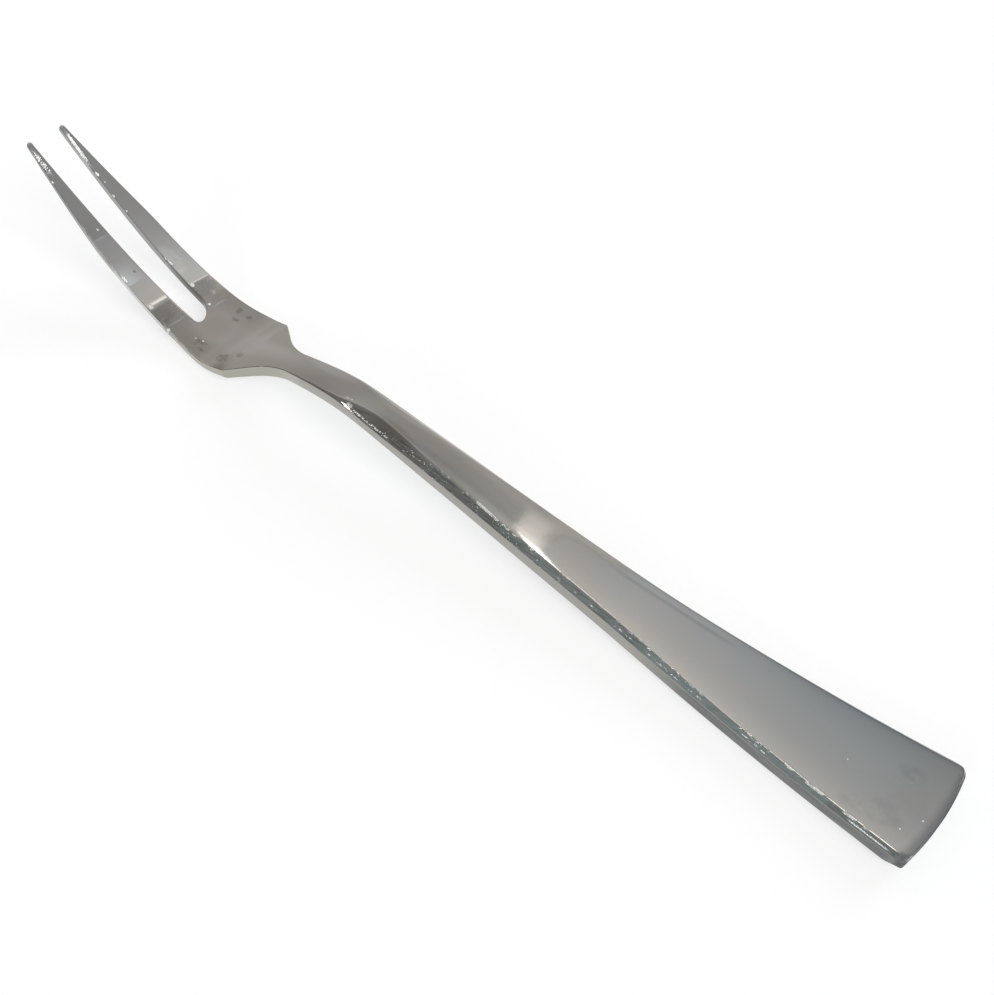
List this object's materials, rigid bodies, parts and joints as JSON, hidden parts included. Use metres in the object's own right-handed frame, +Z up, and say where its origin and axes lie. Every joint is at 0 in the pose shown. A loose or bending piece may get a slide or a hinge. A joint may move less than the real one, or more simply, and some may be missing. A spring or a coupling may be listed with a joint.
{
  "type": "cold meat fork",
  "caption": "Slim serving fork for cold meat or cheese: a tapered handle with bevelled upper edges, a narrow neck, a square-shouldered plate and slender tines bent upward.",
  "frame": {"origin": "on the table, below the middle of the box around the fork as it lies on its back", "axes": "+X along the fork towards the tips, +Y across it, +Z up from the table"},
  "size_m": [0.1438, 0.0136, 0.0174],
  "materials": {
    "polished_metal": "polished, with fine scratches and rubbed edges from use"
  },
  "bodies": {
    "root": {"fork": "polished_metal"}
  },
  "joints": []
}
